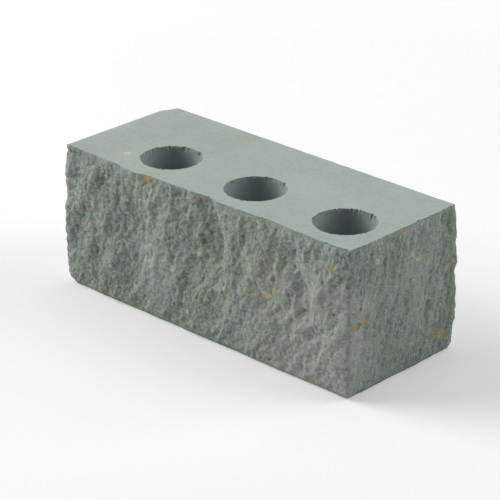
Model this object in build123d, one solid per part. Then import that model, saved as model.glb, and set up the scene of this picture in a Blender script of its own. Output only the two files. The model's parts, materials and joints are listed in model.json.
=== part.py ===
from build123d import *
from math import ceil, exp, hypot, pi, sin, tanh
import os

# Split face hollow brick: a corner brick pressed from concrete, lying on its bed with its row of
# round holes upright. The back and one end are smooth from the mould. The long face and the other
# end were split open along straight knife lines, and between those lines the concrete bulges and
# tears. Millimetres, +Z up, +X towards the split end, -Y towards the long split face. The origin
# is the middle of the bed, half way between the smooth faces and the knife lines.

# Block
LENGTH = 222.0              # smooth end to the knife lines of the split end
WIDTH = 88.0                # smooth back to the knife lines of the long split face
HEIGHT = 88.0               # bed to bed
MOULD_CORNER_RADIUS = 6.0   # upright corner between the smooth back and the smooth end

# Holes, one row along the length
HOLE_COUNT = 3
HOLE_DIAMETER = 35.5
SMOOTH_END_WALL = 42.0      # smooth end to the first hole
SPLIT_END_WALL = 10.2       # last hole to the knife lines of the split end
SPLIT_FACE_WALL = 10.0      # holes to the knife lines of the long split face

# Tear of the split faces: crests stand beyond the knife lines, scallops and scars lie below the crests
BULGE = 4.4                 # crests, in the middle of a split face
SHOULDER_POWER = 4          # even; a higher one keeps the bulge flatter and its edges steeper
EDGE_SHARE = 0.15           # share of the tear that still shows on the knife lines
SWELL_DEPTH = 1.5           # long scallops, hollow between sharp crests
SWELL_LENGTH = 57.0         # crest to crest
SWELL_LEAN = -0.35          # sideways run of the crests for each unit of height
RIPPLE_DEPTH = 1.1          # short scallops across the long ones
RIPPLE_LENGTH = 24.0
RIPPLE_LEAN = 0.55
CREST_ROUNDING = 0.4        # 0 for knife-sharp crests; a high one turns the scallops into plain waves
SCAR_DEPTH = 9.5            # flake lost from the long face beside each hole, below its steep brow
SCAR_FADE = 2               # even; a higher one keeps the scars closer to the upper bed
SCAR_BROW = 5.0             # half of the steep side, from foot to brow
SCAR_RUN = 10.0             # distance over which the scar runs out, away from the corner
SCAR_AHEAD = 5.0            # how far a brow stands from the axis of its hole, towards the corner
SCAR_LEAN = 0.08            # sideways run of the middle brow for each unit of height
SCAR_FAN = 0.27             # how much less each brow leans than the one nearer the corner
SCAR_BOW = 9.0              # how far the ends of a brow lie behind its middle
CORNER_DROP = 5.0           # fall of both split faces towards the upright corner between them
CORNER_RUN = 8.0
RELIEF_PITCH = 4.0          # spacing of the points that carry the relief
RELIEF_TOLERANCE = 0.1      # how closely the torn surfaces keep to those points

# Corner broken off where the long split face meets the smooth end and the lower bed
LOWER_CHIP_ALONG = 5.0
LOWER_CHIP_BACK = 6.0
LOWER_CHIP_UP = 4.8

# Mould corner broken off at the upper bed
UPPER_CHIP_ALONG = 5.0
UPPER_CHIP_FORWARD = 11.0
UPPER_CHIP_DOWN = 6.0

hole_radius = HOLE_DIAMETER / 2
first_hole = LENGTH - SMOOTH_END_WALL - hole_radius     # from the corner of the split faces
last_hole = SPLIT_END_WALL + hole_radius
hole_pitch = (first_hole - last_hole) / max(HOLE_COUNT - 1, 1)
hole_row = SPLIT_FACE_WALL + hole_radius                # from the long split face
hole_stations = [last_hole + hole_pitch * i for i in range(HOLE_COUNT)]

# The rough block reaches past the knife lines by more than the tear ever stands out.
stock = 2 * BULGE
overrun = stock + RELIEF_PITCH
corner_x = LENGTH / 2
corner_y = -WIDTH / 2


def shoulder(up):
    """Share of the tear at a height: little on the upper and lower knife line, full between them."""
    return 1 - (1 - EDGE_SHARE) * (2 * up / HEIGHT - 1) ** SHOULDER_POWER


def scallop(along, up, length, lean):
    """Hollow between leaning crests: 0 on a crest, 1 half way to the next."""
    across = sin(pi * (along + lean * up) / length)
    return (hypot(across, CREST_ROUNDING) - CREST_ROUNDING) / (hypot(1, CREST_ROUNDING) - CREST_ROUNDING)


def scar(along, up, hole):
    """Flake lost beside one hole: deepest under a brow on the side of the corner, less towards the bed."""
    middle = 2 * up / HEIGHT - 1
    lean = SCAR_LEAN + SCAR_FAN * ((HOLE_COUNT - 1) / 2 - hole)
    brow = hole_stations[hole] - SCAR_AHEAD + lean * (up - HEIGHT / 2) + SCAR_BOW * middle ** 2
    past = along - brow
    below_brow = (tanh(past / SCAR_BROW) - tanh((past - SCAR_RUN) / SCAR_RUN)) / 2
    return below_brow * (up / HEIGHT) ** SCAR_FADE


def tear(along, up):
    """Height of the torn surface, at a distance round the brick from the corner of its split faces:
    positive along the long face, negative along the split end."""
    height = BULGE - CORNER_DROP * exp(-((along / CORNER_RUN) ** 2))
    height -= SWELL_DEPTH * scallop(along, up, SWELL_LENGTH, SWELL_LEAN)
    height -= RIPPLE_DEPTH * scallop(along, up, RIPPLE_LENGTH, RIPPLE_LEAN)
    if along > 0:
        height -= SCAR_DEPTH * sum(scar(along, up, hole) for hole in range(HOLE_COUNT))
    return height * shoulder(up)


def stations(size):
    """Even steps over a face and a little past both of its edges."""
    count = ceil((size + 2 * overrun) / RELIEF_PITCH)
    return [-overrun + (size + 2 * overrun) * i / count for i in range(count + 1)]


def long_face_point(along, up):
    return Vector(corner_x - along, corner_y - tear(along, up), up)


def end_face_point(back, up):
    return Vector(corner_x + tear(-back, up), corner_y + back, up)


def offcut(point, size, outward):
    """What splits off one face: the space from its torn surface outward."""
    rows = [[point(along, up) for up in stations(HEIGHT)] for along in stations(size)]
    torn = Face.make_surface_from_array_of_points(rows, tol=RELIEF_TOLERANCE)
    return extrude(torn, amount=2 * stock, dir=outward)


def chipped(solid, corner, loss):
    """A solid with one corner broken off along a plane. The loss is what each edge loses from the
    corner on, negative against an axis."""
    foot = Vector(corner) + Vector(loss[0], 0, 0)
    inward = Vector(1 / loss[0], 1 / loss[1], 1 / loss[2])
    return split(solid, bisect_by=Plane(foot, z_dir=inward), keep=Keep.TOP)


# Pressed block: its plan with the holes, one corner rounded by the mould
plan = Pos(stock / 2, -stock / 2) * Rectangle(LENGTH + stock, WIDTH + stock)
mould_corner = plan.vertices().sort_by_distance((-LENGTH / 2, WIDTH / 2))[0]
plan = fillet(mould_corner, MOULD_CORNER_RADIUS)
for station in hole_stations:
    plan -= Pos(corner_x - station, corner_y + hole_row) * Circle(hole_radius)
block = extrude(plan, HEIGHT)

# Both offcuts away, and the two broken corners
brick = block - offcut(long_face_point, LENGTH, (0, -1, 0)) - offcut(end_face_point, WIDTH, (1, 0, 0))
lower_loss = (LOWER_CHIP_ALONG, LOWER_CHIP_BACK, LOWER_CHIP_UP)
upper_loss = (UPPER_CHIP_ALONG, -UPPER_CHIP_FORWARD, -UPPER_CHIP_DOWN)
brick = chipped(brick, (-LENGTH / 2, -WIDTH / 2, 0), lower_loss)
brick = chipped(brick, (-LENGTH / 2, WIDTH / 2, HEIGHT), upper_loss)

os.makedirs("parts", exist_ok=True)
export_step(brick, "parts/split_face_brick.step")
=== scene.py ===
import json
import math
from collections import namedtuple

import bpy
import numpy as np
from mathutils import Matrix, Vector
from mathutils.bvhtree import BVHTree
from mathutils.geometry import delaunay_2d_cdt

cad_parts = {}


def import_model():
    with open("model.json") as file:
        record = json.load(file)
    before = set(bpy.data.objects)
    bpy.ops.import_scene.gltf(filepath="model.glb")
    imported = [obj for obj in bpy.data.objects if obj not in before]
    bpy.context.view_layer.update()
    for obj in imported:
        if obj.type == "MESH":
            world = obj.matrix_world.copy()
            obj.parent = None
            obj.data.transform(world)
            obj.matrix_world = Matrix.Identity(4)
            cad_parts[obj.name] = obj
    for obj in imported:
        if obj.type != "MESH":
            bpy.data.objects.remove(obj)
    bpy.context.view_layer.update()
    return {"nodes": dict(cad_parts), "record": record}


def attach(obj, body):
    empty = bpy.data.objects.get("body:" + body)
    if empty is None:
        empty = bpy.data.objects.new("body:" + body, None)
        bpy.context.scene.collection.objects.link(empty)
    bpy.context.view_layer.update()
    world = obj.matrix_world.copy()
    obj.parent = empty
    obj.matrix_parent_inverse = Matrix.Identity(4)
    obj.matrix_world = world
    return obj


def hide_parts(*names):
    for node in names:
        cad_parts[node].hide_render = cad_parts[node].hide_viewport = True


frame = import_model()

# Sizes and places of the solid
MM = 1000.0
NODE = "split_face_brick"
mounts = {m["name"]: m for m in frame["record"]["mounts"]}
END_X = mounts["smooth_end"]["pos_m"][0] * MM
BACK_Y = mounts["back"]["pos_m"][1] * MM
TOP_Z = mounts["upper_bed"]["pos_m"][2] * MM
KNIFE_X, KNIFE_Y = -END_X, -BACK_Y
LENGTH, WIDTH = 2 * KNIFE_X, 2 * BACK_Y
HOLES = {
    name: (m["pos_m"][0] * MM, m["pos_m"][1] * MM, m["dims"]["r_mm"])
    for name, m in mounts.items() if m["kind"] == "bore"
}

# Mesh spacing
SPLIT_STEP = 0.62           # along and up the split faces
BEND_STEP = 0.36            # round their corner
SIDE_STEP = 4.5             # along the smooth faces
CORNER_STEP = 0.9           # round the mould corner and beside it
BED_STEP = 4.0              # inside the beds
BED_JITTER, BED_SEED = 0.8, 300
RIM_SEGMENTS = 240          # round a hole
EDGE_ROWS = [0.0, 0.15, 0.4, 0.8, 1.3]              # from a bed, on all sides
SPLIT_BAND = 2.0                                    # where the even rows of the split faces begin
SIDE_ROWS = EDGE_ROWS + [2.2, 3.4, 4.8, 6.4, 8.5]   # on the smooth faces
SIDE_BAND, SIDE_MIDDLE_ROWS = 12.0, 9               # where their even rows begin, and how many there are
RIM_ROWS = [0.0, 0.3, 0.7, 1.2, 1.9, 2.8, 4.2, 6.6]  # in a hole
BORE_MIDDLE_ROWS = 7        # between those
GUIDE_RADIUS = 9.0          # guide path round the corner of the split faces
MOULD_GUIDE = 7.0           # guide path round the mould corner
CHIP_CLEAR = 8.0            # keeps the smooth end's columns off the broken lower corner
RELAX_ROUNDS = 12           # softens the facets of the solid under the tear
CLEAR = 0.06                # keeps the rays off the solid's own edges
AFAR = 30.0                 # start of a ray, beyond the surface
SEED = 41

# Layers of relief: size along a face, size up it, height, and seed of their own
Layer = namedtuple("Layer", "along up height seed")
WARP = Layer(12.0, 12.0, 2.4, 5)        # wander of the flakes, ridges, lumps and crumbs
LUMP_WARP, CRUMB_WARP = 0.5, 0.4        # share of it that lumps and crumbs follow
FLAKES = Layer(13.0, 20.0, 1.8, 11)     # their height is how far a flake tilts
FLAKE_STEP = 0.6                        # uneven height of neighbouring flakes
RIDGES = Layer(7.0, 11.5, 1.5, 31)
LUMPS = Layer(4.2, 4.8, 0.7, 47)
CRUMBS = Layer(1.9, 2.1, 0.45, 43)
LUMP_MIDDLE, CRUMB_MIDDLE = 0.5, 0.4    # share of their height that leaves the face where it is
GRIT = Layer(2.2, 2.4, 0.4, 61)
PITS = Layer(2.6, 3.4, 0.5, 71)
PIT_START, PIT_FULL = 0.2, 0.6          # noise at which a pit begins, and is at its deepest
STROKES = Layer(7.5, 34.0, 2.0, 59)     # upright strokes of the split end
BROW_RAGS = Layer(7.0, 7.0, 2.2, 83)    # sideways wander of the scars' brows
EDGE_CRUMBS = Layer(3.0, 3.0, 1.1, 97)  # lost from the knife lines
CRUMB_START, CRUMB_FULL = 0.1, 0.55     # noise at which such a crumb begins, and is at its deepest
END_RAGS = Layer(6.0, 6.0, 0.5, 91)     # unevenness where the split faces meet the smooth ones
SIDE_CHIPS = Layer(7.0, 1.0, 1.2, 103)  # lost from the edges of the smooth faces
SIDE_WAVES = Layer(16.0, 20.0, 0.25, 109)

# Lean of the layers: ridges lean on the lower part of a face and stand upright above it
RIDGE_LEAN = 0.7
RIDGE_RISE = 30.0
STROKE_LEAN = 0.27
CALM_FOOT = 0.7             # share of the relief close above the lower bed
CALM_FROM, CALM_TO = 12.0, 50.0     # up to here, and from here on in full
END_BEFORE, END_PAST = 4.0, 8.0     # from before to past the corner, strokes join the relief
END_CALM = 0.3              # which loses this share there

# Brows of the scars in the long face, by hole: place ahead of the hole's axis, height of the middle, half
# length, bow, lean, depth of the hollow under it, crisp step at its foot, rise of the crest past it
SCARS = {
    "hole_smooth_end": (7.5, 40.0, 24.0, 6.0, -0.09, 2.4, 0.5, 0.6),
    "hole_middle": (3.1, 60.0, 28.0, 12.0, 0.02, 3.0, 2.2, 3.0),
    "hole_split_end": (0.7, 56.0, 26.0, 2.0, 0.5, 1.0, 1.4, 2.2),
}
SCAR_BROW = 5.0             # steep side and run-out of a scar, as on the solid
SCAR_RUN = 10.0
SUNK, SUNK_RUN = 0.6, 5.0       # share of a step that is sunk into the hollow, and how fast it fades
RAISED, RAISED_RUN = 0.4, 4.0   # share that is raised past the brow's line
CREST_RUN = 8.0             # from a brow's foot to its crest
CREST_FALL = 26.0           # fall of the crest beyond

# The solid's scar beside the first hole, which is filled again in part
FILL_DEPTH = 6.0
FILL_AHEAD, FILL_LEAN, FILL_BOW = 5.0, -0.19, 9.0

# Upright corner and foot of the split faces
CORNER_FILL = 5.0           # both faces stay fuller towards the corner than on the solid
CORNER_RUN = 8.5
CORNER_SWAY = 3.2           # how far its line wanders sideways
SWAY_LENGTH, SWAY_SEED = 14.0, 137      # size of that noise up the corner
SWAY_RUN = 7.0              # how far from the corner it reaches
SWAY_BAND = 3.0             # it wanders in full only this far from the beds
FOOT_FILL = 2.2             # both faces stay fuller close above the lower bed than on the solid
FOOT_RUN, FOOT_EDGE = 6.0, 1.5      # how far up that fades, and how soon it starts above the bed

# Edges
KNIFE_SHARE = 0.22          # share of the relief that still shows on the knife lines
KNIFE_BAND = 4.0            # this far from them it shows in full
EDGE_LOSS, EDGE_BAND = 0.25, 1.6    # least that the knife lines lose, and how far from the beds
END_LOSS, END_BAND = 1.1, 2.5       # the same where the split faces meet the smooth ones
END_SHARE = 0.6             # share of that loss before its unevenness
EDGE_ROUND = 0.7            # worn edges of the smooth faces
ROUND_RUN = 4.0             # how far that goes on along the split faces
CHIP_DROP = 0.9             # how far down an edge its chips reach
TORN_FOLD, PLAIN_FOLD = 0.3, 0.6    # cosine of the turn between two faces, below which their edge is crisp
LOWER_EDGE = 40.0           # sets the noise of the lower edges apart from that of the upper ones

# Rims of the holes
RIM_LOSS = 0.15             # least that a rim loses
RIM_TEETH, RIM_NICKS = 1.3, 1.3     # depth of its teeth and nicks
NICK_START, NICK_FULL = 0.1, 0.45   # noise at which a nick begins, and is at its deepest
RIM_RAGS = 0.5              # unevenness of both down the bore
RIM_FLARE = 0.3             # how far down the loss reaches, and how much further where it is greater
RIM_FLARE_GROWTH = 1.3
BORE_WAVES = 0.05
TEETH_RATE, NICK_RATE, RAG_RATE, WAVE_RATE = 11, 7, 12, 3   # noise cells to a radian round a bore
RAG_DROP, WAVE_DROP = 1.5, 30.0     # size of the noise down it
RIM_SHADE_REACH = 2.2              # how far down a bore its darker crumbled patches reach, partly the colour of broken concrete and partly painted shade in the nicks
BORE_SEED, BORE_SEED_STEP = 201, 31

# Grains of stone in the split faces, as (distance round from the smooth end, height, radius, tint).
# The few large ones are where the photograph has them; the rest are scattered.
OCHRE, STRAW, CREAM, DARK = 0.1, 0.3, 0.5, 0.8
LARGE_GRAINS = [
    (68.5, 85.6, 2.7, OCHRE), (16.0, 78.6, 1.6, OCHRE), (79.0, 81.6, 1.3, OCHRE),
    (51.0, 69.0, 2.0, CREAM), (19.5, 52.4, 1.4, OCHRE), (123.0, 47.4, 1.7, OCHRE),
    (133.6, 67.6, 1.4, OCHRE), (164.0, 44.3, 2.6, CREAM), (135.4, 31.6, 1.5, OCHRE),
    (211.4, 76.4, 1.7, OCHRE), (196.0, 3.4, 1.9, OCHRE), (111.0, 52.0, 1.8, CREAM),
    (225.5, 44.0, 2.5, STRAW), (241.4, 76.6, 1.9, CREAM), (298.0, 13.0, 3.4, STRAW),
    (276.4, 48.4, 1.5, STRAW),
]
GRAIN_COUNT = 300
GRAIN_SEED = 900
GRAIN_SHARES = {OCHRE: 0.22, STRAW: 0.28, CREAM: 0.42, DARK: 0.08}
LEAST_GRAIN, GRAIN_SPREAD = 0.35, 0.5   # least radius, and how much is added by chance
GRAIN_GAMMA = (1.5, 0.5)    # shape and scale of the spread of their radii
LARGEST_GRAIN, LARGEST_DARK = 1.7, 0.6
GRAIN_STRETCH = (0.84, 1.1)     # grains are wider than they are high
GRAIN_REACH = 9.0           # how far off a grain is still looked for
GRAIN_EDGE = (0.25, -0.35)  # from outside a grain to inside it
NO_GRAIN = 50.0             # gap to a grain where there is none
GRAIN_CALM, GRAIN_RISE = 0.3, 0.12      # a grain is less torn than the rest and stands out a little

# Tones, and the painted shade and highlight of pits and crests
PALE_BEFORE = 14.0          # palest place of the split faces, before their corner
PALE_RUN = 62.0             # how far it spreads along the long face
PALE_END = 30.0             # and round the corner
PALE_HEIGHT = 45.0          # below this in full, fading to nothing at the upper bed
CAVITY_ROUNDS = 6           # how wide a neighbourhood pits and crests are measured against, for the painted shade in pits and painted highlight on crests
CAVITY_DEPTH = 0.5          # depth or height that counts in full
COOL_EDGE = -36.0           # where the pressed faces turn cooler, along X
BED_FLECK = (-75.0, -29.0, TOP_Z)   # cream grain that shows in the upper bed
BED_FLECK_RADIUS = 2.2

# Studio, in metres
FLOOR_HALF = 6.0
FLOOR_GAP = 0.0003          # below the lower bed
FLOOR_SHADE = 0.82
GLOW_NEAR, GLOW_FAR = (0.5, 0.26), (3.5, 0.95)  # distance from the brick's middle, the floor's glow there
AMBIENT = 0.05              # strength of the surroundings as a light
LAMP_TARGET = (0.0, 0.0, 0.05)
LAMPS = {                   # place, side of the square lamp, watts
    "overhead": ((-0.5, 0.62, 2.5), 2.2, 15.5),
    "left": ((-2.1, -1.22, 1.65), 2.0, 72.0),
    "right": ((1.8, 1.66, 1.65), 2.2, 39.0),
}
PHOTO_EYE = Vector((0.8466, -0.8938, 0.5952))
AIM = Vector((-0.002, -0.002, 0.040))
LENS = 168.0
SENSOR = 36.0


# Noise, all seeded

TABLE = 512                 # entries of a noise's random table
PERLIN_SCALE = 1.6          # brings the noise to about -1 to 1
FINER = 2.03                # a little over two, so that the layers of a noise don't line up
LAYER_SEED = 17             # step between the seeds of those layers
DOME_FALL = 1.3             # fall of a pebble's dome away from its middle


def perlin(x, y, z, seed):
    """Gradient noise on arrays, about -1 to 1."""
    rng = np.random.default_rng(SEED + seed)
    table = np.tile(rng.permutation(TABLE), 3)
    grads = rng.normal(size=(TABLE, 3))
    grads /= np.linalg.norm(grads, axis=1)[:, None]
    xi, yi, zi = (np.floor(v).astype(int) for v in (x, y, z))
    xf, yf, zf = x - xi, y - yi, z - zi
    u, v, w = (t * t * t * (t * (t * 6 - 15) + 10) for t in (xf, yf, zf))
    total = 0.0
    for dx in (0, 1):
        for dy in (0, 1):
            for dz in (0, 1):
                h = table[table[table[(xi + dx) % TABLE] + (yi + dy) % TABLE] + (zi + dz) % TABLE]
                g = grads[h]
                dot = g[..., 0] * (xf - dx) + g[..., 1] * (yf - dy) + g[..., 2] * (zf - dz)
                share = (u if dx else 1 - u) * (v if dy else 1 - v) * (w if dz else 1 - w)
                total = total + dot * share
    return total * PERLIN_SCALE


def fbm(x, y, seed, octaves=3, gain=0.55, z=0.0):
    """Layers of noise, each about half the size of the one before."""
    z = z + 0 * x
    total, amp, norm = 0.0, 1.0, 0.0
    for i in range(octaves):
        finer = FINER ** i
        total = total + amp * perlin(x * finer, y * finer, z * finer, seed + LAYER_SEED * i)
        norm += amp
        amp *= gain
    return total / norm


def cells(x, y, seed):
    """The nine nearest jittered cell centres of each point: offsets from them and a random row each."""
    rng = np.random.default_rng(SEED + seed)
    table = np.tile(rng.permutation(TABLE), 3)
    rows = rng.random((TABLE, 6))
    xi, yi = np.floor(x).astype(int), np.floor(y).astype(int)
    for dx in (-1, 0, 1):
        for dy in (-1, 0, 1):
            row = rows[table[table[(xi + dx) % TABLE] + (yi + dy) % TABLE]]
            yield x - (xi + dx + row[..., 0]), y - (yi + dy + row[..., 1]), row


def facets(x, y, seed, tilt, offset, crisp):
    """Tilted flakes with soft steps between them."""
    top, weight = 0.0, 1e-9
    for dx, dy, row in cells(x, y, seed):
        w = np.exp(-crisp * (dx * dx + dy * dy))
        lean = (2 * row[..., 3] - 1) * dx + (2 * row[..., 4] - 1) * dy
        top = top + w * (offset * (2 * row[..., 2] - 1) + tilt * lean)
        weight = weight + w
    return top / weight


def pebbles(x, y, seed, crisp):
    """Domes of uneven height, one to a cell, that cover each other: about 0 in seams, 1 on the highest."""
    total = 0.0
    for dx, dy, row in cells(x, y, seed):
        total = total + np.exp(crisp * (row[..., 2] - DOME_FALL * (dx * dx + dy * dy)))
    return np.log(total) / crisp


def smooth(lo, hi, v):
    """Soft step from 0 at lo to 1 at hi, which may be the lower one."""
    t = np.clip((v - lo) / (hi - lo), 0, 1)
    return t * t * (3 - 2 * t)


def on(layer, s, z):
    """Places in units of a layer's own size, and its seed."""
    return s / layer.along, z / layer.up, layer.seed


# Grains of stone

def scatter_grains():
    """All grains, the large ones first. None is scattered over the corner, where it would be drawn out."""
    rng = np.random.default_rng(SEED + GRAIN_SEED)
    at = rng.random((GRAIN_COUNT, 2)) * (LENGTH + WIDTH, TOP_Z)
    tint = rng.choice(list(GRAIN_SHARES), GRAIN_COUNT, p=list(GRAIN_SHARES.values()))
    radius = LEAST_GRAIN + GRAIN_SPREAD * rng.gamma(*GRAIN_GAMMA, GRAIN_COUNT)
    radius = np.minimum(radius, np.where(tint == DARK, LARGEST_DARK, LARGEST_GRAIN))
    off_corner = np.abs(at[:, 0] - LENGTH) > GUIDE_RADIUS / 2
    scattered = np.column_stack([at, radius, tint])[off_corner]
    return np.concatenate([np.array(LARGE_GRAINS), scattered])


def grain_field(s, z):
    """Gap to the nearest grain's edge (negative inside it), and that grain's tint."""
    gap = np.full(s.shape, NO_GRAIN)
    tint = np.zeros(s.shape)
    for gs, gz, r, t in scatter_grains():
        near = np.abs(s - gs) < GRAIN_REACH
        d = np.hypot((s[near] - gs) * GRAIN_STRETCH[0], (z[near] - gz) * GRAIN_STRETCH[1]) - r
        better = d < gap[near]
        gap[near] = np.where(better, d, gap[near])
        tint[near] = np.where(better, t, tint[near])
    return gap, tint


# Casting onto the solid

solid = frame["nodes"][NODE]
bvh = BVHTree.FromPolygons(
    [(solid.matrix_world @ v.co) * MM for v in solid.data.vertices],
    [p.vertices[:] for p in solid.data.polygons],
)


def cast(path, outward, rows):
    """Points of the solid's sides, by place along a plan path and by height."""
    grid = np.empty((len(path), len(rows), 3))
    for i, (p, o) in enumerate(zip(path, outward)):
        x = float(np.clip(p[0], END_X + CLEAR, None))
        y = float(np.clip(p[1], None, BACK_Y - CLEAR))
        for j, z in enumerate(rows):
            level = float(np.clip(z, CLEAR, TOP_Z - CLEAR))
            start = Vector((x + o[0] * AFAR, y + o[1] * AFAR, level))
            found = bvh.ray_cast(start, Vector((-o[0], -o[1], 0.0)))[0]
            if found is None:
                raise RuntimeError(f"no surface at {start}")
            grid[i, j] = found.x, found.y, z
    return grid


def leg(start, end, step):
    """Evenly spaced points of a straight run, both ends included."""
    start, end = np.array(start), np.array(end)
    n = round(np.linalg.norm(end - start) / step)
    return [start + (end - start) * k / n for k in range(n + 1)]


def turn(centre, radius, first, last, step):
    """Points of an arc and their outward directions, both ends left out."""
    n = round(abs(last - first) * radius / step)
    angles = [first + (last - first) * k / (n + 1) for k in range(1, n + 1)]
    outs = [np.array((math.cos(a), math.sin(a))) for a in angles]
    return [np.array(centre) + radius * o for o in outs], outs


def split_guide():
    """Plan path along both split faces: points, outward directions, distance round from the smooth end."""
    r = GUIDE_RADIUS
    long_run = leg((END_X, KNIFE_Y), (KNIFE_X - r, KNIFE_Y), SPLIT_STEP)
    bend, bend_out = turn((KNIFE_X - r, KNIFE_Y + r), r, -math.pi / 2, 0.0, BEND_STEP)
    end_run = leg((KNIFE_X, KNIFE_Y + r), (KNIFE_X, BACK_Y), SPLIT_STEP)
    points = np.array(long_run + bend + end_run)
    outs = np.array([(0.0, -1.0)] * len(long_run) + bend_out + [(1.0, 0.0)] * len(end_run))
    # distances as if the corner were square, so that both faces keep their own scale
    around = np.concatenate([
        np.linspace(0, LENGTH - r, len(long_run)),
        LENGTH - r + 2 * r * np.arange(1, len(bend) + 1) / (len(bend) + 1),
        LENGTH + np.linspace(r, WIDTH, len(end_run)),
    ])
    return points, outs, around


def smooth_guide():
    """Plan path along the smooth back, mould corner and smooth end, without its two ends."""
    r = MOULD_GUIDE
    back_run = leg((KNIFE_X, BACK_Y), (END_X + r, BACK_Y), SIDE_STEP)[1:]
    bend, bend_out = turn((END_X + r, BACK_Y - r), r, math.pi / 2, math.pi, CORNER_STEP)
    near_run = leg((END_X, BACK_Y - r), (END_X, BACK_Y - 3 * r), CORNER_STEP)
    end_run = leg((END_X, BACK_Y - 3 * r), (END_X, KNIFE_Y + CHIP_CLEAR), SIDE_STEP)[1:]
    points = np.array(back_run + bend + near_run + end_run)
    straight = [(-1.0, 0.0)] * (len(near_run) + len(end_run))
    outs = np.array([(0.0, 1.0)] * len(back_run) + bend_out + straight)
    return points, outs


def mirrored(rows, middle):
    """Heights of the rows near the lower bed, between the beds, and near the upper bed."""
    return np.concatenate([rows, middle, TOP_Z - np.array(rows[::-1])])


def from_bed(rows):
    """Distance from the nearer bed."""
    return np.minimum(rows, TOP_Z - rows)


# Split faces: the solid's own torn surface, with the finer tear on it

def tear(s, z):
    """Height of the finer tear over the solid's surface."""
    drift = RIDGE_LEAN * RIDGE_RISE * (1 - np.exp(-z / RIDGE_RISE))
    warp = WARP.height * perlin(s / WARP.along, z / WARP.up, 0 * s, WARP.seed)
    across = s - drift + warp
    flakes = facets(*on(FLAKES, across, z + warp), tilt=FLAKES.height, offset=FLAKE_STEP, crisp=4.0)
    ridges = RIDGES.height * fbm(*on(RIDGES, across, z), octaves=2, gain=0.5)
    lumps = pebbles(*on(LUMPS, s + LUMP_WARP * warp, z), crisp=7.0) - LUMP_MIDDLE
    lumps = LUMPS.height * lumps
    crumbs = pebbles(*on(CRUMBS, s + CRUMB_WARP * warp, z), crisp=12.0) - CRUMB_MIDDLE
    crumbs = CRUMBS.height * crumbs
    grit = GRIT.height * fbm(*on(GRIT, s, z), octaves=2, gain=0.6)
    pits = PITS.height * smooth(PIT_START, PIT_FULL, fbm(*on(PITS, s, z)))
    strokes = STROKES.height * fbm(*on(STROKES, s - STROKE_LEAN * z, z), octaves=4, gain=0.6)
    rough = CALM_FOOT + (1 - CALM_FOOT) * smooth(CALM_FROM, CALM_TO, z)
    ended = smooth(LENGTH - END_BEFORE, LENGTH + END_PAST, s)
    height = rough * (flakes + ridges + lumps - pits) + crumbs + grit
    foot = FOOT_FILL * (np.exp(-z / FOOT_RUN) - np.exp(-z / FOOT_EDGE))
    return height * (1 - END_CALM * ended) + ended * strokes + foot


def dent(past):
    """Section of a scar, as on the solid, by the distance from its brow."""
    return (np.tanh(past / SCAR_BROW) - np.tanh((past - SCAR_RUN) / SCAR_RUN)) / 2


def station(hole):
    """Distance of a hole's axis from the smooth end."""
    return HOLES[hole][0] - END_X


def scars(s, z):
    """Crisp brows on the steep side of the solid's scars, with crests past them."""
    ragged = BROW_RAGS.height * fbm(*on(BROW_RAGS, s, z))
    total = 0.0
    for name, (ahead, height, half, bow, lean, hollow, step, crest) in SCARS.items():
        up = z - height
        past = station(name) + ahead - lean * up - bow * (up / half) ** 2 - s + ragged
        sunk = SUNK * np.exp(-np.abs(past) / SUNK_RUN)
        raised = RAISED * np.exp(-np.abs(past) / RAISED_RUN)
        below = np.where(past > 0, sunk, -raised)
        beyond = np.maximum(-past, 0)
        rise = (1 - np.exp(-(beyond / CREST_RUN) ** 2)) * np.exp(-beyond / CREST_FALL)
        total = total + (crest * rise - step * below - hollow * dent(past)) * np.exp(-(up / half) ** 4)
    return total


def fill(s, z):
    """Filling of the solid's scar beside the first hole."""
    middle = 2 * z / TOP_Z - 1
    brow = station("hole_smooth_end") + FILL_AHEAD - FILL_LEAN * (z - TOP_Z / 2) - FILL_BOW * middle ** 2
    return FILL_DEPTH * dent(brow - s) * (z / TOP_Z) ** 2


def corner(s, z, outward):
    """Fuller split faces beside their corner, at half height most of all."""
    fuller = CORNER_FILL * np.exp(-((s - LENGTH) / CORNER_RUN) ** 2) * (1 - (2 * z / TOP_Z - 1) ** 4)
    return fuller / np.abs(outward).max(axis=1)[:, None]


def edge_loss(s, z):
    """What the split faces lose at their knife lines and where they meet the smooth faces."""
    side = np.minimum(s, s.max() - s)
    rags = END_RAGS.height * perlin(z / END_RAGS.up, s / END_RAGS.along, 0 * s, END_RAGS.seed)
    ends = END_LOSS * smooth(END_BAND, 0.0, side) * (END_SHARE + rags)
    crumbs = smooth(CRUMB_START, CRUMB_FULL, fbm(*on(EDGE_CRUMBS, s, z), gain=0.65))
    knife_lines = (EDGE_LOSS + EDGE_CRUMBS.height * crumbs) * smooth(EDGE_BAND, 0.0, from_bed(z))
    return ends + knife_lines


def relaxed(grid):
    """A cast grid with its plan places evened out, its border kept."""
    border = len(EDGE_ROWS)
    grid = grid.copy()
    for _ in range(RELAX_ROUNDS):
        near = grid[:-2, border:-border] + grid[2:, border:-border]
        near = near + grid[1:-1, border - 1:-border - 1] + grid[1:-1, border + 1:1 - border]
        grid[1:-1, border:-border, :2] = near[..., :2] / 4
    return grid


def rounded(rows):
    """How far a worn edge draws back at each height."""
    depth = np.maximum(EDGE_ROUND - from_bed(rows), 0)
    return EDGE_ROUND - np.sqrt(EDGE_ROUND ** 2 - depth ** 2)


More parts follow.
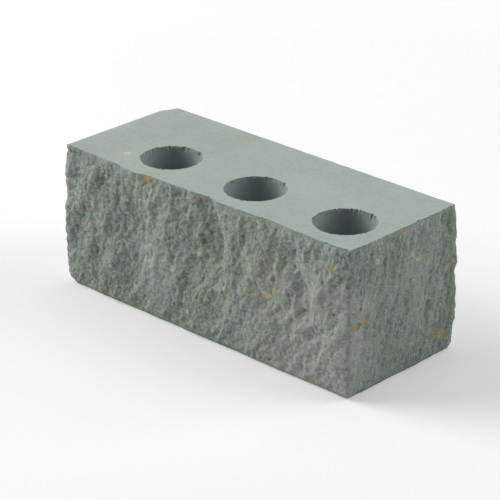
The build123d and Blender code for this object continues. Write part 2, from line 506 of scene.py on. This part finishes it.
def split_faces(path, outward, rows, S, Z, gap):
    """Points of both split faces, and how far each is lifted off the solid."""
    grid = relaxed(cast(path, outward, rows))
    inside = smooth(*GRAIN_EDGE, gap)
    edge = from_bed(Z)
    lift = (tear(S, Z) + scars(S, Z)) * (KNIFE_SHARE + (1 - KNIFE_SHARE) * smooth(0.0, KNIFE_BAND, edge))
    lift += fill(S, Z) + corner(S, Z, outward)
    lift = lift * (1 - GRAIN_CALM * inside) + GRAIN_RISE * inside
    lift -= edge_loss(S, Z)
    grid[..., :2] += outward[:, None, :] * lift[..., None]
    sway = CORNER_SWAY * fbm(Z / SWAY_LENGTH, 0 * Z, SWAY_SEED, octaves=4, gain=0.6)
    sway = sway * np.exp(-((S - LENGTH) / SWAY_RUN) ** 2) * smooth(0.0, SWAY_BAND, edge)
    tangent = np.stack([-outward[:, 1], outward[:, 0]], -1)
    grid[..., :2] += tangent[:, None, :] * sway[..., None]
    # the two ends lie in the smooth faces and share their worn edges
    grid[0, :, 0] = END_X
    grid[-1, :, 1] = BACK_Y
    grid[..., 0] += rounded(rows)[None, :] * np.maximum(1 - S / ROUND_RUN, 0)
    grid[..., 1] -= rounded(rows)[None, :] * np.maximum(1 - (S.max() - S) / ROUND_RUN, 0)
    return grid, lift


def depth_among_neighbours(lift):
    """How far each point lies below (negative) or above its neighbours, for the painted shade in pits and
    painted highlight on crests.
    """
    soft = lift.copy()
    for _ in range(CAVITY_ROUNDS):
        soft = sum(np.roll(soft, step, axis) for axis in (0, 1) for step in (-1, 1)) / 5 + soft / 5
    return np.clip((lift - soft) / CAVITY_DEPTH, -1, 1)


def paleness(s, z):
    """1 where the split faces are palest, in the lower part beside their corner."""
    past = s - LENGTH + PALE_BEFORE
    return np.exp(-(past / np.where(past < 0, PALE_RUN, PALE_END)) ** 2) * smooth(TOP_Z, PALE_HEIGHT, z)


even_rows = round((TOP_Z - 2 * SPLIT_BAND) / SPLIT_STEP) + 1
split_rows = mirrored(EDGE_ROWS, np.linspace(SPLIT_BAND, TOP_Z - SPLIT_BAND, even_rows))
split_path, split_out, around = split_guide()
S, Z = np.meshgrid(around, split_rows, indexing="ij")
gap, tint = grain_field(S, Z)
split, lift = split_faces(split_path, split_out, split_rows, S, Z, gap)


# Smooth faces, with worn edges

def smooth_faces(path, outward, rows):
    """Points of the smooth faces, drawn back a little and at their edges most of all."""
    grid = cast(path, outward, rows)
    walk = np.cumsum(np.hypot(*np.diff(path, axis=0, prepend=path[:1]).T))
    W, H = np.meshgrid(walk, rows, indexing="ij")
    side = np.where(H > TOP_Z / 2, 0.0, LOWER_EDGE)
    along, level, seed = on(SIDE_CHIPS, W, 0 * W)
    chips = np.maximum(fbm(along + side, level, seed), 0)
    chips = chips * SIDE_CHIPS.height * np.exp(-from_bed(H) / CHIP_DROP)
    waves = SIDE_WAVES.height * fbm(*on(SIDE_WAVES, W, H), octaves=2)
    loss = rounded(rows)[None, :] + chips + np.maximum(waves, 0)
    grid[..., :2] -= outward[:, None, :] * loss[..., None]
    return grid


side_rows = mirrored(SIDE_ROWS, np.linspace(SIDE_BAND, TOP_Z - SIDE_BAND, SIDE_MIDDLE_ROWS))
sides = smooth_faces(*smooth_guide(), side_rows)


# Holes: smooth bores with crumbled rims

def bore(x, y, r, rows, seed):
    """Points of a bore, wider where its two rims are crumbled."""
    angles = np.linspace(0, 2 * np.pi, RIM_SEGMENTS, endpoint=False)
    A, H = np.meshgrid(angles, rows, indexing="ij")
    ca, sa = np.cos(A), np.sin(A)
    end = np.where(H > TOP_Z / 2, 0.0, LOWER_EDGE)
    teeth = np.abs(fbm(ca * TEETH_RATE + end, sa * TEETH_RATE, seed, gain=0.65))
    nicks = fbm(ca * NICK_RATE + end, sa * NICK_RATE, seed + 5, gain=0.6)
    loss = RIM_LOSS + RIM_TEETH * teeth + RIM_NICKS * smooth(NICK_START, NICK_FULL, nicks)
    rags = RIM_RAGS * fbm(ca * RAG_RATE, sa * RAG_RATE, seed + 13, octaves=2, z=H / RAG_DROP)
    reach = RIM_FLARE + RIM_FLARE_GROWTH * loss
    radius = r + loss * (1 + rags) * np.exp(-(from_bed(H) / reach) ** 2)
    radius += BORE_WAVES * fbm(ca * WAVE_RATE, sa * WAVE_RATE, seed + 9, octaves=2, z=H / WAVE_DROP)
    return np.stack([x + radius * ca, y + radius * sa, H], -1)


bore_middle = np.linspace(RIM_ROWS[-1], TOP_Z - RIM_ROWS[-1], BORE_MIDDLE_ROWS + 2)[1:-1]
bore_rows = mirrored(RIM_ROWS, bore_middle)
bores = [
    bore(*hole, bore_rows, BORE_SEED + BORE_SEED_STEP * i) for i, hole in enumerate(HOLES.values())
]


# Beds: flat, meshed between the outline and the rims

def within(points, loop):
    """Which points lie inside a closed loop."""
    count = np.zeros(len(points), int)
    x, y = points[:, 0], points[:, 1]
    for (ax, ay), (bx, by) in zip(loop, np.roll(loop, -1, axis=0)):
        if ay != by:
            crosses = (ay > y) != (by > y)
            count += crosses & (x < ax + (bx - ax) * (y - ay) / (by - ay))
    return count % 2 == 1


def clear_of(points, loop, gap):
    """Which points stay a gap away from every point of a loop."""
    near = [np.hypot(*(points - p).T) < gap for p in loop]
    return ~np.any(near, axis=0)


def bed(outline, rims):
    """Points inside a bed, and triangles over its outline, its rims and those points, in that order."""
    rng = np.random.default_rng(SEED + BED_SEED)
    nx, ny = round(LENGTH / BED_STEP), round(WIDTH / BED_STEP)
    xs, ys = np.linspace(END_X, KNIFE_X, nx), np.linspace(KNIFE_Y, BACK_Y, ny)
    inner = np.stack(np.meshgrid(xs, ys, indexing="ij"), -1).reshape(-1, 2)
    inner = inner + rng.uniform(-BED_JITTER, BED_JITTER, inner.shape)
    keep = within(inner, outline) & clear_of(inner, outline, BED_STEP / 2)
    for rim in rims:
        keep &= ~within(inner, rim) & clear_of(inner, rim, BED_STEP / 2)
    inner = inner[keep]
    edges, start = [], 0
    for loop in [outline] + rims:
        n = len(loop)
        edges += [(start + i, start + (i + 1) % n) for i in range(n)]
        start += n
    flat = np.concatenate([outline] + rims + [inner])
    made = delaunay_2d_cdt([Vector(p) for p in flat], edges, [], 1, 1e-6)
    source = [o[0] for o in made[3]]
    tris = np.array([[source[i] for i in t] for t in made[2]])
    middles = flat[tris].mean(1)
    off_holes = ~np.any([within(middles, rim) for rim in rims], axis=0)
    return inner, tris[off_holes]


# One closed mesh of all these

verts, faces, zones = [], [], []
PRESSED, TORN, BORE = 0, 1, 2


def add(points):
    """Adds a grid of points and gives their numbers, in the same grid."""
    first = sum(len(v) for v in verts)
    shape = points.shape[:-1]
    verts.append(points.reshape(-1, 3))
    return first + np.arange(math.prod(shape)).reshape(shape)


def cover(corners, zone):
    """Adds faces, given as lists of point numbers."""
    faces.extend(corners)
    zones.extend([zone] * len(corners))


def quilt(ids, zone, closed=False):
    """Four-sided faces over a grid whose columns run round the brick and whose rows run up."""
    after = np.roll(ids, -1, axis=0)
    if not closed:
        ids, after = ids[:-1], after[:-1]
    quads = np.stack([ids[:, :-1], after[:, :-1], after[:, 1:], ids[:, 1:]], -1).reshape(-1, 4)
    cover(quads.tolist(), zone)


def zip_up(left, right, left_rows, right_rows):
    """Triangles between two neighbouring columns that have different rows."""
    i = j = 0
    while i + 1 < len(left) or j + 1 < len(right):
        up_left = i + 1 < len(left) and (j + 1 == len(right) or left_rows[i + 1] <= right_rows[j + 1])
        tip = left[i + 1] if up_left else right[j + 1]
        cover([[int(left[i]), int(right[j]), int(tip)]], PRESSED)
        i, j = (i + 1, j) if up_left else (i, j + 1)


split_ids = add(split)
side_ids = add(sides)
bore_ids = [add(b) for b in bores]
quilt(split_ids, TORN)
quilt(side_ids, PRESSED)
zip_up(split_ids[-1], side_ids[0], split_rows, side_rows)
zip_up(side_ids[-1], split_ids[0], side_rows, split_rows)
for ids in bore_ids:
    quilt(ids[::-1], BORE, closed=True)
for row, z in ((0, 0.0), (-1, TOP_Z)):
    outline = np.concatenate([split[:, row, :2], sides[:, row, :2]])
    inner, tris = bed(outline, [b[:, row, :2] for b in bores])
    inner_ids = add(np.column_stack([inner, np.full(len(inner), z)]))
    rim_ids = [ids[:, row] for ids in bore_ids]
    ids = np.concatenate([split_ids[:, row], side_ids[:, row]] + rim_ids + [inner_ids])
    cover(ids[tris if z else tris[:, ::-1]].tolist(), PRESSED)

coords = np.concatenate(verts)
mesh = bpy.data.meshes.new("brick_skin")
mesh.from_pydata((coords / MM).tolist(), [], faces)
skin = bpy.data.objects.new("brick_skin", mesh)
bpy.context.scene.collection.objects.link(skin)


def point_attribute(name, parts, rest=0.0):
    """A value for each point of the skin, from pairs of point numbers and their values."""
    values = np.full(len(coords), rest, np.float32)
    for ids, part in parts:
        values[ids] = part
    mesh.attributes.new(name, "FLOAT", "POINT").data.foreach_set("value", values)


# share of the darker crumbled patches down each bore: partly broken concrete's colour, partly painted shade
# in the rim's nicks
rim_shade_fade = np.exp(-(from_bed(bore_rows) / RIM_SHADE_REACH) ** 2)
point_attribute("grain_gap", [(split_ids, gap)], NO_GRAIN)
point_attribute("grain_tint", [(split_ids, tint)])
# painted shade in the pits and painted highlight on the crests of the split faces
point_attribute("cavity_shade", [(split_ids, depth_among_neighbours(lift))])
point_attribute("pale", [(split_ids, paleness(S, Z))])
point_attribute("rim", [(ids, rim_shade_fade) for ids in bore_ids])


# Materials

def colour(r, g, b):
    """A screen colour, 0 to 255, as the linear value that a shader takes."""
    shares = (r / 255, g / 255, b / 255)
    return tuple(c / 12.92 if c <= 0.04045 else ((c + 0.055) / 1.055) ** 2.4 for c in shares) + (1.0,)


class Tree:
    """Shorthand for building a material's nodes, with lengths in millimetres."""

    def __init__(self, name):
        self.material = bpy.data.materials.new(name)
        self.material.use_nodes = True
        self.nodes = self.material.node_tree.nodes
        self.links = self.material.node_tree.links
        self.shader = self.nodes["Principled BSDF"]
        place = self.nodes.new("ShaderNodeTexCoord")
        self.mm = self.vector("SCALE", place.outputs["Object"], "Scale", MM)

    def put(self, socket, value):
        """Links a node's output to a socket, or sets the socket to a constant."""
        if isinstance(value, bpy.types.NodeSocket):
            self.links.new(value, socket)
        else:
            socket.default_value = value

    def vector(self, operation, vector, key, value, output="Vector"):
        n = self.nodes.new("ShaderNodeVectorMath")
        n.operation = operation
        self.put(n.inputs[0], vector)
        self.put(n.inputs[key], value)
        return n.outputs[output]

    def parts(self, vector):
        """X, Y and Z of a vector."""
        n = self.nodes.new("ShaderNodeSeparateXYZ")
        self.put(n.inputs["Vector"], vector)
        return n.outputs

    def noise(self, size, detail, rough=0.55, stretch=(1.0, 1.0, 1.0), distortion=0.0):
        n = self.nodes.new("ShaderNodeTexNoise")
        n.inputs["Scale"].default_value = 1 / size
        n.inputs["Detail"].default_value = detail
        n.inputs["Roughness"].default_value = rough
        n.inputs["Distortion"].default_value = distortion
        self.put(n.inputs["Vector"], self.vector("MULTIPLY", self.mm, 1, stretch))
        return n.outputs["Fac"]

    def wobble(self, size, detail, rough):
        """Noise about zero."""
        return self.math("SUBTRACT", self.noise(size, detail, rough), 0.5)

    def voronoi(self, size):
        """Distance to the nearest cell centre, and three random values of that cell."""
        n = self.nodes.new("ShaderNodeTexVoronoi")
        n.inputs["Scale"].default_value = 1 / size
        self.put(n.inputs["Vector"], self.mm)
        parts = self.nodes.new("ShaderNodeSeparateColor")
        self.put(parts.inputs["Color"], n.outputs["Color"])
        return n.outputs["Distance"], parts.outputs["Red"], parts.outputs["Green"], parts.outputs["Blue"]

    def math(self, operation, a, b=0.0, c=0.0):
        n = self.nodes.new("ShaderNodeMath")
        n.operation = operation
        for socket, value in zip(n.inputs, (a, b, c)):
            self.put(socket, value)
        return n.outputs[0]

    def blend(self, parts):
        """Weighted sum of values."""
        total = 0.0
        for value, weight in parts:
            total = self.math("MULTIPLY_ADD", value, weight, total)
        return total

    def span(self, value, lo, hi, to_lo=0.0, to_hi=1.0):
        """Soft step between two values."""
        n = self.nodes.new("ShaderNodeMapRange")
        n.interpolation_type = "SMOOTHSTEP"
        self.put(n.inputs["Value"], value)
        for key, v in (("From Min", lo), ("From Max", hi), ("To Min", to_lo), ("To Max", to_hi)):
            n.inputs[key].default_value = v
        return n.outputs["Result"]

    def mix(self, factor, a, b):
        n = self.nodes.new("ShaderNodeMix")
        n.data_type = "RGBA"
        sockets = {s.identifier: s for s in n.inputs}
        self.put(sockets["Factor_Float"], factor)
        self.put(sockets["A_Color"], a)
        self.put(sockets["B_Color"], b)
        return next(s for s in n.outputs if s.identifier == "Result_Color")

    def ramp(self, value, stops, kind="LINEAR"):
        n = self.nodes.new("ShaderNodeValToRGB")
        n.color_ramp.interpolation = kind
        elements = n.color_ramp.elements
        while len(elements) < len(stops):
            elements.new(0.5)
        for element, (at, shade) in zip(elements, stops):
            element.position = at
            element.color = colour(*shade)
        self.put(n.inputs["Fac"], value)
        return n.outputs["Color"]

    def upright(self):
        """1 on upright faces, 0 on level ones."""
        face = self.nodes.new("ShaderNodeNewGeometry")
        tilt = self.math("ABSOLUTE", self.parts(face.outputs["Normal"])["Z"])
        return self.span(tilt, 0.6, 0.2)

    def attribute(self, name):
        n = self.nodes.new("ShaderNodeAttribute")
        n.attribute_name = name
        return n.outputs["Fac"]

    def bump(self, height, distance, strength, normal=None):
        n = self.nodes.new("ShaderNodeBump")
        n.inputs["Strength"].default_value = strength
        n.inputs["Distance"].default_value = distance / MM
        self.put(n.inputs["Height"], height)
        if normal:
            self.put(n.inputs["Normal"], normal)
        return n.outputs["Normal"]

    def specks(self, size, largest, share):
        """Mask of small round specks, and a random value of each."""
        near, pick, scale, tone = self.voronoi(size)
        small = self.math("LESS_THAN", near, self.math("MULTIPLY", scale, largest / size))
        return self.math("MULTIPLY", small, self.math("LESS_THAN", pick, share)), tone

    def finish(self, base, normal, roughness, specular):
        self.put(self.shader.inputs["Base Color"], base)
        self.shader.inputs["Roughness"].default_value = roughness
        self.shader.inputs["Specular IOR Level"].default_value = specular
        self.put(self.shader.inputs["Normal"], normal)
        return self.material


def torn_material():
    t = Tree("torn_concrete")
    sand, grain_tone, _, _ = t.voronoi(0.95)
    tone = t.blend([
        (t.noise(26, detail=3), 0.4),
        (t.noise(3.4, detail=5, rough=0.62, stretch=(1.2, 1.2, 0.75)), 0.45),
        (grain_tone, 0.2),
        (t.noise(0.6, detail=3, rough=0.6), 0.16),
        # painted shade and highlight: pits are darkened and crests lightened by their depth among
        # neighbours
        (t.attribute("cavity_shade"), 0.13),
        (t.attribute("pale"), 0.06),
    ])
    green = t.ramp(tone, [
        (0.35, (110, 120, 112)), (0.57, (147, 157, 148)), (0.69, (163, 172, 163)), (0.92, (183, 190, 180)),
    ])
    grey = t.ramp(tone, [
        (0.35, (118, 123, 117)), (0.57, (155, 160, 153)), (0.69, (170, 174, 168)), (0.92, (188, 191, 184)),
    ])
    # paler and less green in patches, and towards the corner of the split faces
    patch = t.math("MULTIPLY_ADD", t.attribute("pale"), 0.25, t.noise(30, detail=4, rough=0.6))
    base = t.mix(t.span(patch, 0.5, 0.8, 0.0, 0.9), green, grey)
    # small specks, then grains of stone with uneven edges
    speck, speck_tone = t.specks(2.8, largest=0.5, share=0.5)
    shades = t.ramp(speck_tone, [
        (0.0, (188, 160, 104)), (0.34, (206, 203, 184)), (0.68, (92, 99, 94)), (0.86, (178, 148, 96)),
    ], "CONSTANT")
    base = t.mix(t.math("MULTIPLY", speck, 0.65), base, shades)
    edge = t.math("MULTIPLY_ADD", t.wobble(1.3, detail=4, rough=0.7), 3.4, t.attribute("grain_gap"))
    worn = t.span(t.noise(1.5, detail=4, rough=0.65), 0.35, 0.6, 0.45, 0.9)
    grain = t.math("MULTIPLY", t.span(edge, 0.3, -0.4), worn)
    stone = t.ramp(t.attribute("grain_tint"), [
        (0.0, (188, 152, 82)), (0.2, (190, 166, 104)), (0.4, (212, 207, 176)), (0.65, (96, 101, 96)),
    ], "CONSTANT")
    dull = t.span(t.noise(1.1, detail=4, rough=0.65), 0.4, 0.75, 0.0, 0.8)
    base = t.mix(grain, base, t.mix(dull, stone, colour(172, 160, 118)))
    coarse = t.noise(1.2, detail=5, rough=0.7, stretch=(1.1, 1.1, 0.85))
    normal = t.bump(coarse, distance=0.5, strength=0.8)
    normal = t.bump(t.math("MULTIPLY", sand, -1.0), distance=0.25, strength=0.7, normal=normal)
    return t.finish(base, normal, roughness=0.92, specular=0.25)


def pressed_material():
    t = Tree("pressed_concrete")
    # the mould drags upright streaks down the sides, and leaves pinholes there, whose shade is painted as
    # dark specks
    upright = t.upright()
    drag = t.math("SUBTRACT", t.noise(1.6, detail=4, rough=0.65, stretch=(1.0, 1.0, 0.05)), 0.5)
    drag = t.math("MULTIPLY", drag, upright)
    tone = t.blend([
        (t.noise(34, detail=3, rough=0.6), 0.3),
        (t.noise(2.6, detail=4, rough=0.6), 0.35),
        (t.noise(0.7, detail=3, rough=0.65), 0.35),
        (drag, 0.35),
    ])
    warm = t.ramp(tone, [(0.38, (161, 170, 164)), (0.5, (170, 179, 173)), (0.62, (178, 186, 179))])
    cool = t.ramp(tone, [(0.38, (163, 174, 169)), (0.5, (172, 183, 178)), (0.62, (180, 190, 184))])
    # cooler and paler towards the split end, with a brownish streak where that begins
    wander = t.math("MULTIPLY_ADD", t.wobble(24, detail=4, rough=0.6), 22.0, t.parts(t.mm)["X"])
    past = t.math("SUBTRACT", wander, COOL_EDGE)
    base = t.mix(t.span(past, -7.0, 9.0), warm, cool)
    streak = t.span(t.math("ABSOLUTE", t.math("ADD", past, 4.0)), 5.0, 0.0, 0.0, 0.3)
    base = t.mix(streak, base, colour(172, 171, 156))
    # painted shade: pinholes are not cut but painted as dark specks on the upright faces
    pinhole_shade, _ = t.specks(5.5, largest=0.55, share=0.35)
    base = t.mix(t.math("MULTIPLY", pinhole_shade, upright), base, colour(112, 120, 115))
    stain = t.span(t.noise(19, detail=4, rough=0.6, distortion=0.6), 0.52, 0.72, 0.0, 0.35)
    base = t.mix(stain, base, colour(168, 168, 156))
    speck, speck_tone = t.specks(3.6, largest=0.47, share=0.4)
    shades = t.ramp(speck_tone, [
        (0.0, (196, 192, 172)), (0.35, (138, 146, 141)), (0.75, (176, 162, 132)), (0.9, (204, 206, 196)),
    ], "CONSTANT")
    base = t.mix(t.math("MULTIPLY", speck, 0.55), base, shades)
    away = t.vector("DISTANCE", t.mm, 1, BED_FLECK, "Value")
    edge = t.math("MULTIPLY_ADD", t.wobble(1.3, detail=4, rough=0.7), 3.0, away)
    fleck = t.span(edge, BED_FLECK_RADIUS + 0.3, BED_FLECK_RADIUS - 0.4, 0.0, 0.75)
    base = t.mix(fleck, base, colour(212, 208, 182))
    normal = t.bump(t.noise(0.8, detail=4, rough=0.65), distance=0.10, strength=0.8)
    normal = t.bump(drag, distance=0.15, strength=0.6, normal=normal)
    return t.finish(base, normal, roughness=0.8, specular=0.3)


def bore_material():
    t = Tree("bore_concrete")
    drag = t.noise(1.4, detail=4, rough=0.6, stretch=(1.0, 1.0, 0.08))
    tone = t.blend([(drag, 0.4), (t.noise(4.0, detail=4, rough=0.6), 0.6)])
    base = t.ramp(tone, [(0.36, (154, 164, 164)), (0.5, (163, 173, 172)), (0.64, (171, 181, 179))])
    # darker crumbled patches near the rims: partly the rougher colour of broken concrete, partly painted
    # shade in nicks
    crumb_and_shade = t.span(t.noise(1.7, detail=4, rough=0.65), 0.5, 0.68, 0.0, 0.8)
    base = t.mix(t.math("MULTIPLY", crumb_and_shade, t.attribute("rim")), base, colour(96, 104, 101))
    normal = t.bump(t.noise(0.9, detail=4, rough=0.65), distance=0.08, strength=0.6)
    normal = t.bump(drag, distance=0.05, strength=0.4, normal=normal)
    return t.finish(base, normal, roughness=0.7, specular=0.3)


# in the order of the zones
for material in (pressed_material(), torn_material(), bore_material()):
    mesh.materials.append(material)
mesh.polygons.foreach_set("material_index", np.array(zones, np.int32))
mesh.polygons.foreach_set("use_smooth", np.ones(len(faces), bool))
mesh.update()


def crisp_edges():
    """Keeps the edges between the beds, the sides and the bores crisp, and sees that the skin is closed."""
    edge_faces = {}
    for f, p in enumerate(mesh.polygons):
        for key in p.edge_keys:
            edge_faces.setdefault(key, []).append(f)
    normals = np.empty(len(faces) * 3)
    mesh.polygons.foreach_get("normal", normals)
    normals = normals.reshape(-1, 3)
    sharp = []
    for e in mesh.edges:
        pair = edge_faces.get(tuple(sorted(e.vertices)), [])
        if len(pair) != 2:
            raise RuntimeError("the skin isn't closed")
        a, b = pair
        limit = TORN_FOLD if zones[a] == TORN else PLAIN_FOLD
        sharp.append(zones[a] != zones[b] or normals[a] @ normals[b] < limit)
    mesh.attributes.new("sharp_edge", "BOOLEAN", "EDGE").data.foreach_set("value", np.array(sharp))


crisp_edges()
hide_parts(NODE)
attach(skin, "root")


# Floor, light and camera

def floor_material():
    """Pale floor that takes the brick's shadow and is brighter to the camera, most of all far away."""
    m = bpy.data.materials.new("studio_floor")
    m.use_nodes = True
    nodes, links = m.node_tree.nodes, m.node_tree.links
    shader = nodes["Principled BSDF"]
    shader.inputs["Base Color"].default_value = (FLOOR_SHADE, FLOOR_SHADE, FLOOR_SHADE, 1.0)
    shader.inputs["Roughness"].default_value = 1.0
    shader.inputs["Specular IOR Level"].default_value = 0.0
    place = nodes.new("ShaderNodeTexCoord")
    away = nodes.new("ShaderNodeVectorMath")
    away.operation = "LENGTH"
    links.new(place.outputs["Object"], away.inputs[0])
    rise = nodes.new("ShaderNodeMapRange")
    for end, (distance, strength) in (("Min", GLOW_NEAR), ("Max", GLOW_FAR)):
        rise.inputs["From " + end].default_value = distance
        rise.inputs["To " + end].default_value = strength
    links.new(away.outputs["Value"], rise.inputs["Value"])
    ray = nodes.new("ShaderNodeLightPath")
    level = nodes.new("ShaderNodeMath")
    level.operation = "MULTIPLY"
    links.new(ray.outputs["Is Camera Ray"], level.inputs[0])
    links.new(rise.outputs["Result"], level.inputs[1])
    glow = nodes.new("ShaderNodeEmission")
    glow.inputs["Color"].default_value = (1.0, 1.0, 1.0, 1.0)
    links.new(level.outputs[0], glow.inputs["Strength"])
    both = nodes.new("ShaderNodeAddShader")
    links.new(shader.outputs[0], both.inputs[0])
    links.new(glow.outputs[0], both.inputs[1])
    links.new(both.outputs[0], nodes["Material Output"].inputs["Surface"])
    return m


def floor():
    h = FLOOR_HALF
    m = bpy.data.meshes.new("studio_floor")
    m.from_pydata([(-h, -h, 0), (h, -h, 0), (h, h, 0), (-h, h, 0)], [], [(0, 1, 2, 3)])
    m.materials.append(floor_material())
    o = bpy.data.objects.new("studio_floor", m)
    bpy.context.scene.collection.objects.link(o)
    o.location.z = -FLOOR_GAP


def aimed(name, data, place, target):
    """An object that looks from its place at a target."""
    o = bpy.data.objects.new(name, data)
    o.location = place
    o.rotation_euler = (Vector(target) - Vector(place)).to_track_quat("-Z", "Y").to_euler()
    bpy.context.scene.collection.objects.link(o)
    return o


def lamp(name, place, size, power):
    data = bpy.data.lights.new(name, "AREA")
    data.shape = "RECTANGLE"
    data.size = data.size_y = size
    data.energy = power
    aimed(name, data, place, LAMP_TARGET)


def world():
    """White to the camera and in reflections, dim as a light."""
    w = bpy.data.worlds.new("studio")
    bpy.context.scene.world = w
    w.use_nodes = True
    nodes, links = w.node_tree.nodes, w.node_tree.links
    back = nodes["Background"]
    back.inputs["Color"].default_value = (1.0, 1.0, 1.0, 1.0)
    ray = nodes.new("ShaderNodeLightPath")
    seen = nodes.new("ShaderNodeMath")
    seen.operation = "MAXIMUM"
    links.new(ray.outputs["Is Camera Ray"], seen.inputs[0])
    links.new(ray.outputs["Is Glossy Ray"], seen.inputs[1])
    level = nodes.new("ShaderNodeMapRange")
    level.inputs["To Min"].default_value = AMBIENT
    level.inputs["To Max"].default_value = 1.0
    links.new(seen.outputs[0], level.inputs["Value"])
    links.new(level.outputs["Result"], back.inputs["Strength"])


def camera():
    data = bpy.data.cameras.new("camera")
    data.sensor_width = SENSOR
    data.lens = LENS
    bpy.context.scene.camera = aimed("camera", data, PHOTO_EYE, AIM)


floor()
world()
for name, settings in LAMPS.items():
    lamp(name, *settings)
camera()
bpy.context.scene.view_settings.view_transform = "Standard"
